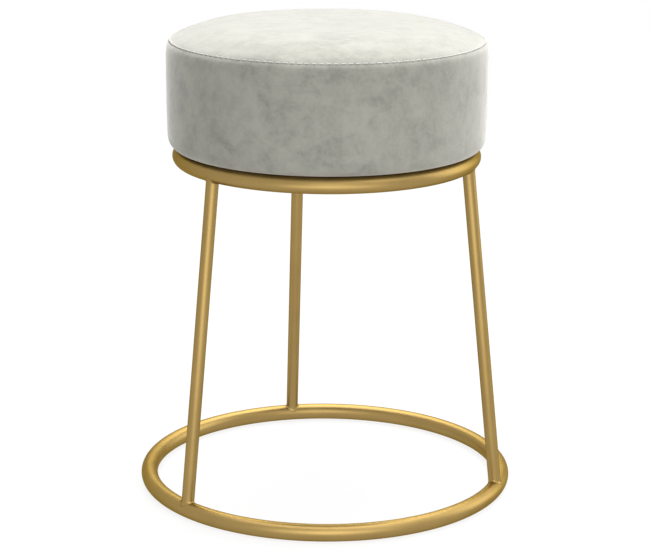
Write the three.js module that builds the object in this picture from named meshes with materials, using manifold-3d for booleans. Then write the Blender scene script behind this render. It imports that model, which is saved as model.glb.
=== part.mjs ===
// A round vanity stool: a velvet drum seat bolted onto a welded frame of two steel hoops and three legs.
// Millimetres, +Z up. The origin is on the floor at the middle of the base hoop. The rear leg is on +Y.

import * as THREE from "three";
import { mergeVertices } from "three/addons/utils/BufferGeometryUtils.js";
import Module from "manifold-3d";

const wasm = await Module();
wasm.setup();

// Fits shared by the whole stool
const clearance = 0.3; // left between pieces that touch
const overrun = 2; // how far a cutting body runs past the face that it cuts

// Frame: the hoops are measured to the middle of their tube
const baseRingRadius = 172.8;
const topRingRadius = 138.5;
const topRingHeight = 324.2;
const ringTubeRadius = 8;
const ringTubeWall = 1.2;
const legTubeRadius = 6;
const legTubeWall = 1.2;
const ventRadius = 2.5; // hole in a hoop under each leg, which lets the tube breathe when it is coated
const legNames = ["leg_rear", "leg_left", "leg_right"];
const rearLegTurn = Math.PI / 2;

// Seat outline, as the finished cover shows it
const seatOverhang = 12.7; // widest point of the seat beyond the middle of the top hoop's tube
const seamHeightOverUnderside = 101.3;
const crownRise = 16.2; // middle of the top above its seam
const crownPower = 5.5; // a higher power gives a flatter top with a rounder edge
const shoulderReach = 2.9; // how far the side leans in from its widest point to the seam
const shoulderDrop = 26.5; // height over which it leans in
const sideBulge = 0.6; // how far the lower edge of the side is drawn in
const cornerReach = 9.5; // the soft corner at the underside, across and up
const cornerRise = 11.6;

// Seat build-up
const coverThickness = 1.2;
const waddingThickness = 2;
const boardThickness = 12;
const boardChamfer = 1.5;
const dustCoverThickness = 0.6;
const dustCoverMargin = 1.5; // the dust cover stops this short of the inside of the top hoop
const hemOverlap = 10; // how far the dust cover laps over the turned-under hem of the side band
const threadRadius = 0.35;

// Brackets welded inside the top hoop, with what goes through them
const bracketThickness = 3;
const bracketHalfWidth = 10;
const boltRadius = 3;
const boltHeadRadius = 5.25;
const boltHeadHeight = 3.3;
const boltSocketRadius = 2.3; // to the corners of the hexagon
const boltSocketDepth = 2;
const boltTipSetback = 1.5; // the bolt ends this far under the top of the board
const boltCircleInset = 11; // the bolts stand this far inside the edge of the hem
const flatWasherRadius = 6;
const flatWasherThickness = 1.6;
const springWasherRadius = 5.6;
const springWasherThickness = 1.5;
const springWasherSplit = 1;

// Pronged tee nuts, let in flush with the top of the board
const teeNutBarrelWall = 1;
const teeNutFlangeLip = 5.2;
const teeNutFlangeThickness = 1.5;
const teeNutBarrelLength = 9;
const teeNutProngLength = 5;
const teeNutProngWidth = 2.4;
const teeNutProngThickness = 1;
const teeNutProngCount = 4;

// Staples through the dust cover and the hem into the board
const stapleCount = 12;
const stapleCrownHalfWidth = 5;
const stapleLegLength = 8;
const stapleWire = 0.7;

// Facets
const ringSegments = 60;
const ringTubeSides = 12;
const ringBoreSides = 8;
const legSides = 16;
const legBoreSides = 8;
const seatSegments = 48;
const smallSegments = 16;
const threadSides = 4;
const hexagonSides = 6;
const cornerSteps = 3;
const bulgeSteps = 2;
const shoulderShares = [0, 0.6, 0.9, 1]; // heights up the shoulder where the side gets a corner
const crownShares = [0, 0.5, 0.7, 0.83, 0.92, 1]; // radii across the crown, the same way
const headShares = [0, 0.5, 0.85, 1]; // radii across the domed bolt head

// Places that follow from the sizes
const legCount = legNames.length;
const seatUnderside = topRingHeight + ringTubeRadius + clearance;
const seatRadius = topRingRadius + seatOverhang;
const seamRadius = seatRadius - shoulderReach;
const seamHeight = seatUnderside + seamHeightOverUnderside;
const shoulderFoot = seamHeight - shoulderDrop;
const cornerCentreRadius = seatRadius - sideBulge - cornerReach;
const cornerTop = seatUnderside + cornerRise;
const boardBottom = seatUnderside + coverThickness + clearance;
const boardTop = boardBottom + boardThickness;
const waddingInset = coverThickness + clearance;
const foamInset = waddingInset + waddingThickness + clearance;
const dustCoverRadius = topRingRadius - ringTubeRadius - dustCoverMargin;
const dustCoverTop = seatUnderside - clearance;
const dustCoverBottom = dustCoverTop - dustCoverThickness;
const hemRadius = dustCoverRadius - hemOverlap;
const stapleRingRadius = (hemRadius + dustCoverRadius) / 2;
const boltCircleRadius = hemRadius - boltCircleInset;
const boltHoleRadius = boltRadius + clearance;
const bracketTop = dustCoverBottom - clearance;
const bracketBottom = bracketTop - bracketThickness;
const flatWasherTop = bracketBottom - clearance;
const springWasherTop = flatWasherTop - flatWasherThickness - clearance;
const boltSeat = springWasherTop - springWasherThickness - clearance;
const boltTip = boardTop - boltTipSetback;
const teeNutBarrelRadius = boltHoleRadius + teeNutBarrelWall;
const teeNutFlangeRadius = teeNutBarrelRadius + teeNutFlangeLip;

const full = 2 * Math.PI;
const point = (radius, height) => new THREE.Vector2(radius, height);

// Turns a closed geometry into a solid that can be cut
function solidFrom(geometry) {
  const bare = geometry.clone();
  bare.deleteAttribute("normal");
  bare.deleteAttribute("uv");
  const merged = mergeVertices(bare);
  return new wasm.Manifold(
    new wasm.Mesh({
      numProp: 3,
      vertProperties: merged.attributes.position.array,
      triVerts: new Uint32Array(merged.index.array),
    }),
  );
}

function geometryFrom(solid) {
  const mesh = solid.getMesh();
  const geometry = new THREE.BufferGeometry();
  geometry.setAttribute("position", new THREE.BufferAttribute(mesh.vertProperties, mesh.numProp));
  geometry.setIndex(new THREE.BufferAttribute(mesh.triVerts, 1));
  const faceted = geometry.toNonIndexed();
  faceted.computeVertexNormals();
  return faceted;
}

function cut(body, ...cutters) {
  return cutters.reduce((left, cutter) => left.subtract(cutter), body);
}

// A profile of radius and height, turned about the Z axis
function revolve(profile, segments) {
  return new THREE.LatheGeometry(profile, segments).rotateX(Math.PI / 2);
}

function disc(radius, bottom, top, segments) {
  return revolve([point(0, bottom), point(radius, bottom), point(radius, top), point(0, top)], segments);
}

function washerProfile(inner, outer, bottom, top) {
  return [point(inner, bottom), point(outer, bottom), point(outer, top), point(inner, top), point(inner, bottom)];
}

// A hoop of round tube. The sides of the section stand at the tube's radius, so one lies flat on the floor
function hoop(ringRadius, height, tubeRadius, sides) {
  const cornerRadius = tubeRadius / Math.cos(Math.PI / sides);
  const profile = [];
  for (let i = 0; i <= sides; i++) {
    const angle = ((i % sides) + 1 / 2) * (full / sides);
    profile.push(point(ringRadius + cornerRadius * Math.cos(angle), height + cornerRadius * Math.sin(angle)));
  }
  return revolve(profile, ringSegments);
}

// A round bar between two points
function rod(start, end, radius, sides) {
  const along = new THREE.Vector3().subVectors(end, start);
  const bar = new THREE.CylinderGeometry(radius, radius, along.length(), sides);
  const up = new THREE.Vector3(0, 1, 0);
  bar.applyQuaternion(new THREE.Quaternion().setFromUnitVectors(up, along.clone().normalize()));
  bar.translate(...new THREE.Vector3().addVectors(start, end).multiplyScalar(1 / 2));
  return bar;
}

function turned(geometry, angle) {
  return geometry.clone().rotateZ(angle);
}

// Angles of pieces that stand evenly round the stool
function evenTurns(count, first) {
  return Array.from({ length: count }, (_, i) => first + (i * full) / count);
}

const legTurns = evenTurns(legCount, rearLegTurn);
const bracketTurns = evenTurns(legCount, rearLegTurn + full / legCount / 2);
const stapleTurns = evenTurns(stapleCount, rearLegTurn + full / stapleCount / 2);

// Frame
const legFoot = new THREE.Vector3(baseRingRadius, 0, ringTubeRadius);
const legHead = new THREE.Vector3(topRingRadius, 0, topRingHeight);

// Both hoops are hollow, and each leg stands over a vent drilled through one wall
function ringSolid(ringRadius, height, ventFrom, ventTowards) {
  const outside = solidFrom(hoop(ringRadius, height, ringTubeRadius, ringTubeSides));
  const inside = solidFrom(hoop(ringRadius, height, ringTubeRadius - ringTubeWall, ringBoreSides));
  const direction = new THREE.Vector3().subVectors(ventTowards, ventFrom).normalize();
  const ventEnd = ventFrom.clone().addScaledVector(direction, ringTubeRadius + overrun);
  const vent = rod(ventFrom, ventEnd, ventRadius, smallSegments / 2);
  return cut(outside, inside, ...legTurns.map((angle) => solidFrom(turned(vent, angle))));
}

// Drawn over +X. Each end is cut to the round of the hoop that it is welded to
function legSolid() {
  const tube = solidFrom(rod(legFoot, legHead, legTubeRadius, legSides));
  const bore = solidFrom(rod(legFoot, legHead, legTubeRadius - legTubeWall, legBoreSides));
  const gapRadius = ringTubeRadius + clearance;
  const aroundBase = solidFrom(hoop(baseRingRadius, ringTubeRadius, gapRadius, ringTubeSides));
  const aroundTop = solidFrom(hoop(topRingRadius, topRingHeight, gapRadius, ringTubeSides));
  return cut(tube, bore, aroundBase, aroundTop);
}

// Flat steel with a rounded inner end round its bolt hole, drawn over +X
function bracketSolid() {
  const outline = new THREE.Shape();
  outline.moveTo(topRingRadius, -bracketHalfWidth);
  outline.lineTo(topRingRadius, bracketHalfWidth);
  outline.lineTo(boltCircleRadius, bracketHalfWidth);
  outline.absarc(boltCircleRadius, 0, bracketHalfWidth, Math.PI / 2, 3 * (Math.PI / 2), false);
  outline.closePath();
  const settings = { depth: bracketThickness, bevelEnabled: false, curveSegments: smallSegments / 2 };
  const plate = new THREE.ExtrudeGeometry(outline, settings).translate(0, 0, bracketBottom);
  const around = hoop(topRingRadius, topRingHeight, ringTubeRadius + clearance, ringTubeSides);
  return cut(solidFrom(plate), solidFrom(around), boltHole(0));
}

// The hole that a bolt needs, through every layer between the bracket and the tee nut
function boltHole(angle) {
  const hole = disc(boltHoleRadius, bracketBottom - overrun, boardTop + overrun, smallSegments);
  return solidFrom(turned(hole.translate(boltCircleRadius, 0, 0), angle));
}

// Seat. The radius of the cover's side at a height, moved inwards by the layers that lie over a piece
function sideRadiusAt(height, inset) {
  if (height < cornerTop) {
    const drop = Math.min(1, (cornerTop - height) / (cornerRise - inset));
    return cornerCentreRadius + (cornerReach - inset) * Math.sqrt(1 - drop * drop);
  }
  if (height < shoulderFoot) {
    const left = (shoulderFoot - height) / (shoulderFoot - cornerTop);
    return seatRadius - sideBulge * left * left - inset;
  }
  const rise = Math.min(1, (height - shoulderFoot) / shoulderDrop);
  return seamRadius + shoulderReach * Math.sqrt(1 - rise * rise) - inset;
}

function crownHeightAt(radius, inset) {
  const share = radius / seamRadius;
  const slope = (crownRise * crownPower * share ** (crownPower - 1)) / seamRadius;
  return seamHeight + crownRise * (1 - share ** crownPower) - inset * Math.hypot(1, slope);
}

// The side of a layer, from its lowest to its highest point
function sidePath(inset, lowest, highest) {
  const heights = [];
  for (let i = 0; i <= cornerSteps; i++) {
    heights.push(cornerTop - (cornerRise - inset) * Math.cos(((i / cornerSteps) * Math.PI) / 2));
  }
  for (let i = 1; i < bulgeSteps; i++) {
    heights.push(cornerTop + ((shoulderFoot - cornerTop) * i) / bulgeSteps);
  }
  shoulderShares.forEach((share) => heights.push(shoulderFoot + shoulderDrop * share));
  const between = heights.filter((height) => height > lowest + clearance && height < highest - clearance);
  return [lowest, ...between, highest].map((height) => point(sideRadiusAt(height, inset), height));
}

// The top of a layer, from its edge to the axis
function crownPath(inset, edgeRadius) {
  const radii = crownShares.map((share) => share * edgeRadius).reverse();
  return radii.map((radius) => point(radius, crownHeightAt(radius, inset)));
}

// Side and top of a filling layer in one line, from its lower edge to the axis
function fillingPath(inset, lowest) {
  const edgeRadius = seamRadius - inset;
  const side = sidePath(inset, lowest, crownHeightAt(edgeRadius, inset));
  return [...side.slice(0, -1), ...crownPath(inset, edgeRadius)];
}

function foamSolid() {
  const bottom = boardTop + clearance;
  return solidFrom(revolve([point(0, bottom), ...fillingPath(foamInset, bottom)], seatSegments));
}

// A soft sheet over the foam, down over the upper half of the board's edge
function waddingSolid() {
  const lowerEdge = boardBottom + boardThickness / 2;
  const outside = fillingPath(waddingInset, lowerEdge);
  const inside = fillingPath(waddingInset + waddingThickness, lowerEdge);
  return solidFrom(revolve([...inside.reverse(), ...outside], seatSegments));
}

function topPanelSolid() {
  const edgeRadius = seamRadius - coverThickness - clearance;
  const outside = crownPath(0, edgeRadius);
  const inside = crownPath(coverThickness, edgeRadius);
  return solidFrom(revolve([...inside.reverse(), ...outside], seatSegments));
}

// The side band turns under the board, where its hem is stapled
function sideBandSolid() {
  const outside = [point(hemRadius, seatUnderside), ...sidePath(0, seatUnderside, seamHeight)];
  const innerUnderside = seatUnderside + coverThickness;
  const inside = [point(hemRadius, innerUnderside), ...sidePath(coverThickness, innerUnderside, seamHeight)];
  const band = solidFrom(revolve([...outside, ...inside.reverse(), outside[0]], seatSegments));
  return cut(band, ...stapleHoles());
}

function seamThreadGeometry() {
  const ringRadius = seamRadius - coverThickness / 2;
  const height = seamHeight + clearance + threadRadius;
  const profile = [];
  for (let i = 0; i <= threadSides; i++) {
    const angle = ((i % threadSides) * full) / threadSides;
    profile.push(point(ringRadius + threadRadius * Math.cos(angle), height + threadRadius * Math.sin(angle)));
  }
  return revolve(profile, seatSegments);
}

function boardSolid() {
  const edge = cornerCentreRadius;
  const profile = [
    point(0, boardBottom),
    point(edge - boardChamfer, boardBottom),
    point(edge, boardBottom + boardChamfer),
    point(edge, boardTop - boardChamfer),
    point(edge - boardChamfer, boardTop),
    point(0, boardTop),
  ];
  const drill = disc(teeNutBarrelRadius + clearance, boardBottom - overrun, boardTop + overrun, smallSegments);
  drill.translate(boltCircleRadius, 0, 0);
  const drills = bracketTurns.map((angle) => solidFrom(turned(drill, angle)));
  const pocket = geometryFrom(teeNutBody(clearance));
  const pockets = bracketTurns.map((angle) => solidFrom(turned(pocket, angle)));
  return cut(solidFrom(revolve(profile, seatSegments)), ...drills, ...pockets, ...stapleHoles());
}

function dustCoverSolid() {
  const sheet = solidFrom(disc(dustCoverRadius, dustCoverBottom, dustCoverTop, seatSegments));
  return cut(sheet, ...bracketTurns.map(boltHole), ...stapleHoles());
}

// The outside of a tee nut over +X, made larger all round when it is the pocket that the nut lies in
function teeNutBody(extra) {
  const flangeBottom = boardTop - teeNutFlangeThickness - extra;
  const barrelBottom = boardTop - teeNutBarrelLength - extra;
  const above = extra > 0 ? overrun : 0;
  const profile = [
    point(0, barrelBottom),
    point(teeNutBarrelRadius + extra, barrelBottom),
    point(teeNutBarrelRadius + extra, flangeBottom),
    point(teeNutFlangeRadius + extra, flangeBottom),
    point(teeNutFlangeRadius + extra, boardTop + above),
    point(0, boardTop + above),
  ];
  const prongRadius = teeNutFlangeRadius - teeNutProngThickness / 2;
  const prongHeight = teeNutProngLength + extra + teeNutFlangeThickness / 2;
  const prong = new THREE.BoxGeometry(
    teeNutProngThickness + 2 * extra,
    teeNutProngWidth + 2 * extra,
    prongHeight,
  ).translate(prongRadius - extra, 0, flangeBottom + extra - teeNutProngLength - extra + prongHeight / 2);
  const prongs = evenTurns(teeNutProngCount, 0).map((angle) => solidFrom(turned(prong, angle)));
  const body = prongs.reduce((joined, next) => joined.add(next), solidFrom(revolve(profile, smallSegments)));
  return solidFrom(geometryFrom(body).translate(boltCircleRadius, 0, 0));
}

function teeNutSolid() {
  return cut(teeNutBody(0), boltHole(0));
}

// A button-head bolt that points up, with its dome and its hexagon socket underneath
function boltSolid() {
  const dome = headShares.map((share) =>
    point(boltHeadRadius * share, boltSeat - boltHeadHeight * Math.sqrt(1 - share * share)),
  );
  const profile = [...dome, point(boltRadius, boltSeat), point(boltRadius, boltTip), point(0, boltTip)];
  const bolt = solidFrom(revolve(profile, smallSegments).translate(boltCircleRadius, 0, 0));
  const headBottom = boltSeat - boltHeadHeight;
  const socketStart = new THREE.Vector3(boltCircleRadius, 0, headBottom - overrun);
  const socketEnd = new THREE.Vector3(boltCircleRadius, 0, headBottom + boltSocketDepth);
  return cut(bolt, solidFrom(rod(socketStart, socketEnd, boltSocketRadius, hexagonSides)));
}

function flatWasherSolid() {
  const profile = washerProfile(
    boltHoleRadius,
    flatWasherRadius,
    flatWasherTop - flatWasherThickness,
    flatWasherTop,
  );
  return solidFrom(revolve(profile, smallSegments).translate(boltCircleRadius, 0, 0));
}

function springWasherSolid() {
  const bottom = springWasherTop - springWasherThickness;
  const profile = washerProfile(boltHoleRadius, springWasherRadius, bottom, springWasherTop);
  const ring = solidFrom(revolve(profile, smallSegments).translate(boltCircleRadius, 0, 0));
  const reach = springWasherRadius + overrun;
  const split = new THREE.BoxGeometry(reach, springWasherSplit, springWasherThickness + 2 * overrun);
  split.translate(boltCircleRadius - reach / 2, 0, bottom + springWasherThickness / 2);
  return cut(ring, solidFrom(split));
}

// A staple over +X with its crown along the rim, made of wire with a square section
function stapleGeometry(extra) {
  const crownTop = dustCoverBottom - clearance;
  const crownBottom = crownTop - stapleWire - extra;
  const legTop = crownTop - stapleWire + stapleLegLength + extra;
  const outer = stapleCrownHalfWidth + extra;
  const inner = stapleCrownHalfWidth - stapleWire - extra;
  const outline = new THREE.Shape([
    point(-outer, crownBottom),
    point(outer, crownBottom),
    point(outer, legTop),
    point(inner, legTop),
    point(inner, crownTop + extra),
    point(-inner, crownTop + extra),
    point(-inner, legTop),
    point(-outer, legTop),
  ]);
  const width = stapleWire + 2 * extra;
  const staple = new THREE.ExtrudeGeometry(outline, { depth: width, bevelEnabled: false });
  return staple
    .translate(0, 0, -width / 2)
    .rotateX(Math.PI / 2)
    .rotateZ(Math.PI / 2)
    .translate(stapleRingRadius, 0, 0);
}

function stapleHoles() {
  const gap = clearance / 2;
  return stapleTurns.map((angle) => solidFrom(turned(stapleGeometry(gap), angle)));
}

// Materials
function material(color, roughness, metalness) {
  return new THREE.MeshStandardMaterial({ color, roughness, metalness });
}

const goldCoating = () => material(0xb08d4f, 0.42, 0.85);
const velvet = () => material(0xc9c9c1, 0.95, 0);
const sewingThread = () => material(0xdcdcd4, 0.8, 0);
const whiteFibre = () => material(0xf1f0ea, 1, 0);
const foam = () => material(0xe9dfb8, 1, 0);
const plywood = () => material(0xc9a678, 0.75, 0);
const blackCloth = () => material(0x1b1b1c, 0.95, 0);
const zincPlate = () => material(0xb9bcc0, 0.38, 1);

function named(name, geometry, finish) {
  const mesh = new THREE.Mesh(geometry, finish);
  mesh.name = name;
  return mesh;
}

function numbered(name, count, index) {
  return name + "_" + String(index + 1).padStart(String(count).length, "0");
}

// One copy of a piece at each angle, each turned about the stool's axis
function ringOf(name, turns, geometry, finish) {
  return turns.map((angle, index) => {
    const mesh = named(numbered(name, turns.length, index), geometry, finish());
    mesh.rotation.z = angle;
    return mesh;
  });
}

function frameGroup() {
  const group = new THREE.Group();
  const baseRing = ringSolid(baseRingRadius, ringTubeRadius, legFoot, legHead);
  const topRing = ringSolid(topRingRadius, topRingHeight, legHead, legFoot);
  group.add(named("base_ring", geometryFrom(baseRing), goldCoating()));
  group.add(named("top_ring", geometryFrom(topRing), goldCoating()));
  const leg = geometryFrom(legSolid());
  legNames.forEach((name, index) => {
    const mesh = named(name, leg, goldCoating());
    mesh.rotation.z = legTurns[index];
    group.add(mesh);
  });
  group.add(...ringOf("seat_bracket", bracketTurns, geometryFrom(bracketSolid()), goldCoating));
  return group;
}

function seatGroup() {
  const group = new THREE.Group();
  group.add(named("seat_board", geometryFrom(boardSolid()), plywood()));
  group.add(named("foam_pad", geometryFrom(foamSolid()), foam()));
  group.add(named("wadding", geometryFrom(waddingSolid()), whiteFibre()));
  group.add(named("cover_top_panel", geometryFrom(topPanelSolid()), velvet()));
  group.add(named("cover_side_band", geometryFrom(sideBandSolid()), velvet()));
  group.add(named("seam_thread", seamThreadGeometry(), sewingThread()));
  group.add(named("dust_cover", geometryFrom(dustCoverSolid()), blackCloth()));
  group.add(...ringOf("staple", stapleTurns, stapleGeometry(0), zincPlate));
  return group;
}

function fastenerGroup() {
  const group = new THREE.Group();
  group.add(...ringOf("tee_nut", bracketTurns, geometryFrom(teeNutSolid()), zincPlate));
  group.add(...ringOf("seat_bolt", bracketTurns, geometryFrom(boltSolid()), zincPlate));
  group.add(...ringOf("spring_washer", bracketTurns, geometryFrom(springWasherSolid()), zincPlate));
  group.add(...ringOf("flat_washer", bracketTurns, geometryFrom(flatWasherSolid()), zincPlate));
  return group;
}

const stool = new THREE.Group();
stool.add(frameGroup(), seatGroup(), fastenerGroup());

export default stool;
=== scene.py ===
import math

import bmesh
import bpy
import numpy as np
from mathutils import Matrix, Vector, noise
from mathutils.geometry import delaunay_2d_cdt


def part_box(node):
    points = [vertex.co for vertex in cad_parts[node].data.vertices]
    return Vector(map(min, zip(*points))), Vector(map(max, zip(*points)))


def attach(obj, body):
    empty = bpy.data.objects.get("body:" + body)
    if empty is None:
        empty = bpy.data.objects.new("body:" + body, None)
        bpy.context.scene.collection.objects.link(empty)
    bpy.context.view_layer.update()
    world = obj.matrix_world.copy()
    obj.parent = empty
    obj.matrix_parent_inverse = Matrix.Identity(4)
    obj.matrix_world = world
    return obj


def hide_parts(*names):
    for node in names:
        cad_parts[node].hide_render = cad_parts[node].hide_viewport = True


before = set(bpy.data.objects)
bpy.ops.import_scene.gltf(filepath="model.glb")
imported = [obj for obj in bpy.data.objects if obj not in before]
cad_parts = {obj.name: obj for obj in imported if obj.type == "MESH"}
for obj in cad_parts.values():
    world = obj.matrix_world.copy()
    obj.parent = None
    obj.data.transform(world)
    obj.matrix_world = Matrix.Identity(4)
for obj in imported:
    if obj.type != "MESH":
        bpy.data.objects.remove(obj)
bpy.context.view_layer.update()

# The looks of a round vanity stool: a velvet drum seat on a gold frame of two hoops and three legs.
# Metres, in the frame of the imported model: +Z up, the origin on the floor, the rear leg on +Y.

MM = 0.001
FULL = 2 * math.pi
UP = Vector((0, 0, 1))
BODY = "root"

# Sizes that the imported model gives
base_low, base_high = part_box("base_ring")
top_low, top_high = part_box("top_ring")
band_low, band_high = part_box("cover_side_band")
_, panel_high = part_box("cover_top_panel")
thread_low, thread_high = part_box("seam_thread")
dust_low, dust_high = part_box("dust_cover")
_, board_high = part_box("seat_board")
foam_low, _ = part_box("foam_pad")
wadding_low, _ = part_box("wadding")
_, leg_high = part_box("leg_rear")

base_tube = (base_high.z - base_low.z) / 2
base_radius = base_high.x - base_tube
base_height = base_low.z + base_tube
top_tube = (top_high.z - top_low.z) / 2
top_radius = top_high.x - top_tube
top_height = top_low.z + top_tube
leg_tube = leg_high.x

# Seat outline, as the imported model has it
seat_radius = band_high.x
seat_underside = band_low.z
seam_height = band_high.z
crown_rise = panel_high.z - seam_height
board_edge = board_high.x
clearance = 0.3 * MM
merge_distance = clearance / 10
cover_thickness = 1.2 * MM
wadding_thickness = 2 * MM
crown_power = 5.5
shoulder_reach = 2.9 * MM
shoulder_drop = 26.5 * MM
side_bulge = 0.6 * MM
corner_rise = 11.6 * MM
hem_lap = 10 * MM
seam_radius = seat_radius - shoulder_reach
shoulder_foot = seam_height - shoulder_drop
corner_reach = seat_radius - side_bulge - board_edge
corner_top = seat_underside + corner_rise
dust_radius = dust_high.x
hem_radius = dust_radius - hem_lap

# Fineness
HOOP_COLUMNS = 288
TUBE_SIDES = 36
LEG_COLUMNS = 48
SEAT_COLUMNS = 144
TOP_RINGS = SEAT_COLUMNS // 8
SMALL_COLUMNS = 48


# Meshes. A body is a list of points and a list of faces.

def even_turns(count):
    """Angles that divide a full turn evenly."""
    return [FULL * index / count for index in range(count)]


def quarter_turns(steps):
    """Angles from zero to a right angle."""
    return [math.pi / 2 * step / steps for step in range(steps + 1)]


def polar(radius, turn):
    """Place at a radius and a turn from +X."""
    return radius * math.cos(turn), radius * math.sin(turn)


def added(name, data):
    """A new object in the scene."""
    made = bpy.data.objects.new(name, data)
    bpy.context.scene.collection.objects.link(made)
    return made


def as_shown(thing):
    """An object as its modifiers leave it."""
    return thing.evaluated_get(bpy.context.evaluated_depsgraph_get())


def mesh_of(name, body):
    points, faces = body
    mesh = bpy.data.meshes.new(name)
    mesh.from_pydata([tuple(float(value) for value in place) for place in points], [], faces)
    return mesh


def cleaned(mesh, merged=False):
    """Turns a mesh's faces outwards. Points that coincide can be merged first."""
    edit = bmesh.new()
    edit.from_mesh(mesh)
    if merged:
        bmesh.ops.remove_doubles(edit, verts=edit.verts, dist=merge_distance)
    bmesh.ops.recalc_face_normals(edit, faces=edit.faces)
    edit.to_mesh(mesh)
    edit.free()


def piece(name, body, slot, replaced=(), smooth=True):
    """A closed mesh that rides on the stool, with the finish that its slot names."""
    mesh = mesh_of(name, body)
    cleaned(mesh)
    made = added(name, mesh)
    mesh.polygons.foreach_set("use_smooth", [smooth] * len(mesh.polygons))
    mesh.materials.append(FINISHES[slot])
    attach(made, BODY)
    if replaced:
        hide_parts(*replaced)
    return made


def grid_faces(rows, columns, wrap_rows=False):
    """Quads between points that lie row after row, each row a closed ring."""
    faces = []
    for row in range(rows if wrap_rows else rows - 1):
        below = row * columns
        above = ((row + 1) % rows) * columns
        for column in range(columns):
            beside = (column + 1) % columns
            faces.append((below + column, below + beside, above + beside, above + column))
    return faces


def closed_faces(rows, columns):
    """Quads between rows of points, and a flat face at each end."""
    last = (rows - 1) * columns
    return [*grid_faces(rows, columns), tuple(range(columns)), tuple(range(last, last + columns))]


def body_of_rows(rows):
    """A closed body, from the rows of points along it."""
    return [point for row in rows for point in row], closed_faces(len(rows), len(rows[0]))


def turned_points(profile, columns):
    """A profile of radius and height turned about Z, a row of points for each of its points."""
    turns = even_turns(columns)
    return np.array([(*polar(radius, turn), height) for radius, height in profile for turn in turns])


def turned_ring(profile, columns):
    """A closed profile turned about Z, as a body."""
    return turned_points(profile, columns), grid_faces(len(profile), columns, wrap_rows=True)


def swept(path, section_at):
    """The body of a section that follows a path. section_at gives its points for each path index."""
    rows = []
    for index, place in enumerate(path):
        before = path[max(index - 1, 0)]
        after = path[min(index + 1, len(path) - 1)]
        rows.append(section_at(index, place, (after - before).normalized()))
    return body_of_rows(rows)


def round_section(radius_at, sides):
    """Section of a round wire for swept, with its radius for each path index."""
    def section(index, place, along):
        across = along.cross(UP).normalized()
        up = across.cross(along).normalized()
        spots = [polar(radius_at(index), turn) for turn in even_turns(sides)]
        return [place + right * across + rise * up for right, rise in spots]
    return section


def joined(bodies):
    """Several bodies as one."""
    points = []
    faces = []
    for part_points, part_faces in bodies:
        shift = len(points)
        points.extend(part_points)
        faces.extend(tuple(shift + index for index in face) for face in part_faces)
    return points, faces


def middle(node):
    """Middle of a node's box."""
    low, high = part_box(node)
    return (low + high) / 2


def nodes_named(stem):
    """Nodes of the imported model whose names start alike."""
    return sorted(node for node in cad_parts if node.startswith(stem))


def distance_out(node):
    """Distance of a node from the stool's axis."""
    place = middle(node)
    return math.hypot(place.x, place.y)


def azimuth(node):
    """Direction of a node from the stool's axis."""
    place = middle(node)
    return math.atan2(place.y, place.x)


def piece_at_node(name, node, body, slot, replaced=True, smooth=False):
    """A piece that is made in line with +X and turned to where its node is."""
    points, faces = body
    turn = Matrix.Rotation(azimuth(node), 3, "Z")
    placed = [turn @ Vector(point) for point in points]
    piece(name, (placed, faces), slot, (node,) if replaced else (), smooth)


# Materials

def put_values(node, values):
    """Plain values on a node's named inputs."""
    for name, value in values.items():
        node.inputs[name.replace("_", " ")].default_value = value


class Nodes:
    """The nodes of a material or world, with short ways to add to them."""

    def __init__(self, owner):
        owner.use_nodes = True
        self.nodes = owner.node_tree.nodes
        self.links = owner.node_tree.links

    def add(self, kind, **values):
        """A new node, with plain values on its named inputs."""
        node = self.nodes.new(kind)
        put_values(node, values)
        return node

    def math(self, operation, first, second):
        """One sum of two values, each a socket or a number."""
        node = self.add("ShaderNodeMath")
        node.operation = operation
        for socket, value in zip(node.inputs, (first, second)):
            if isinstance(value, (int, float)):
                socket.default_value = value
            else:
                self.links.new(value, socket)
        return node.outputs["Value"]

    def mixed(self, share, first, second):
        """A blend of two shaders."""
        mix = self.add("ShaderNodeMixShader")
        for socket, value in zip(mix.inputs, (share, first, second)):
            self.links.new(value, socket)
        return mix.outputs["Shader"]


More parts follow.
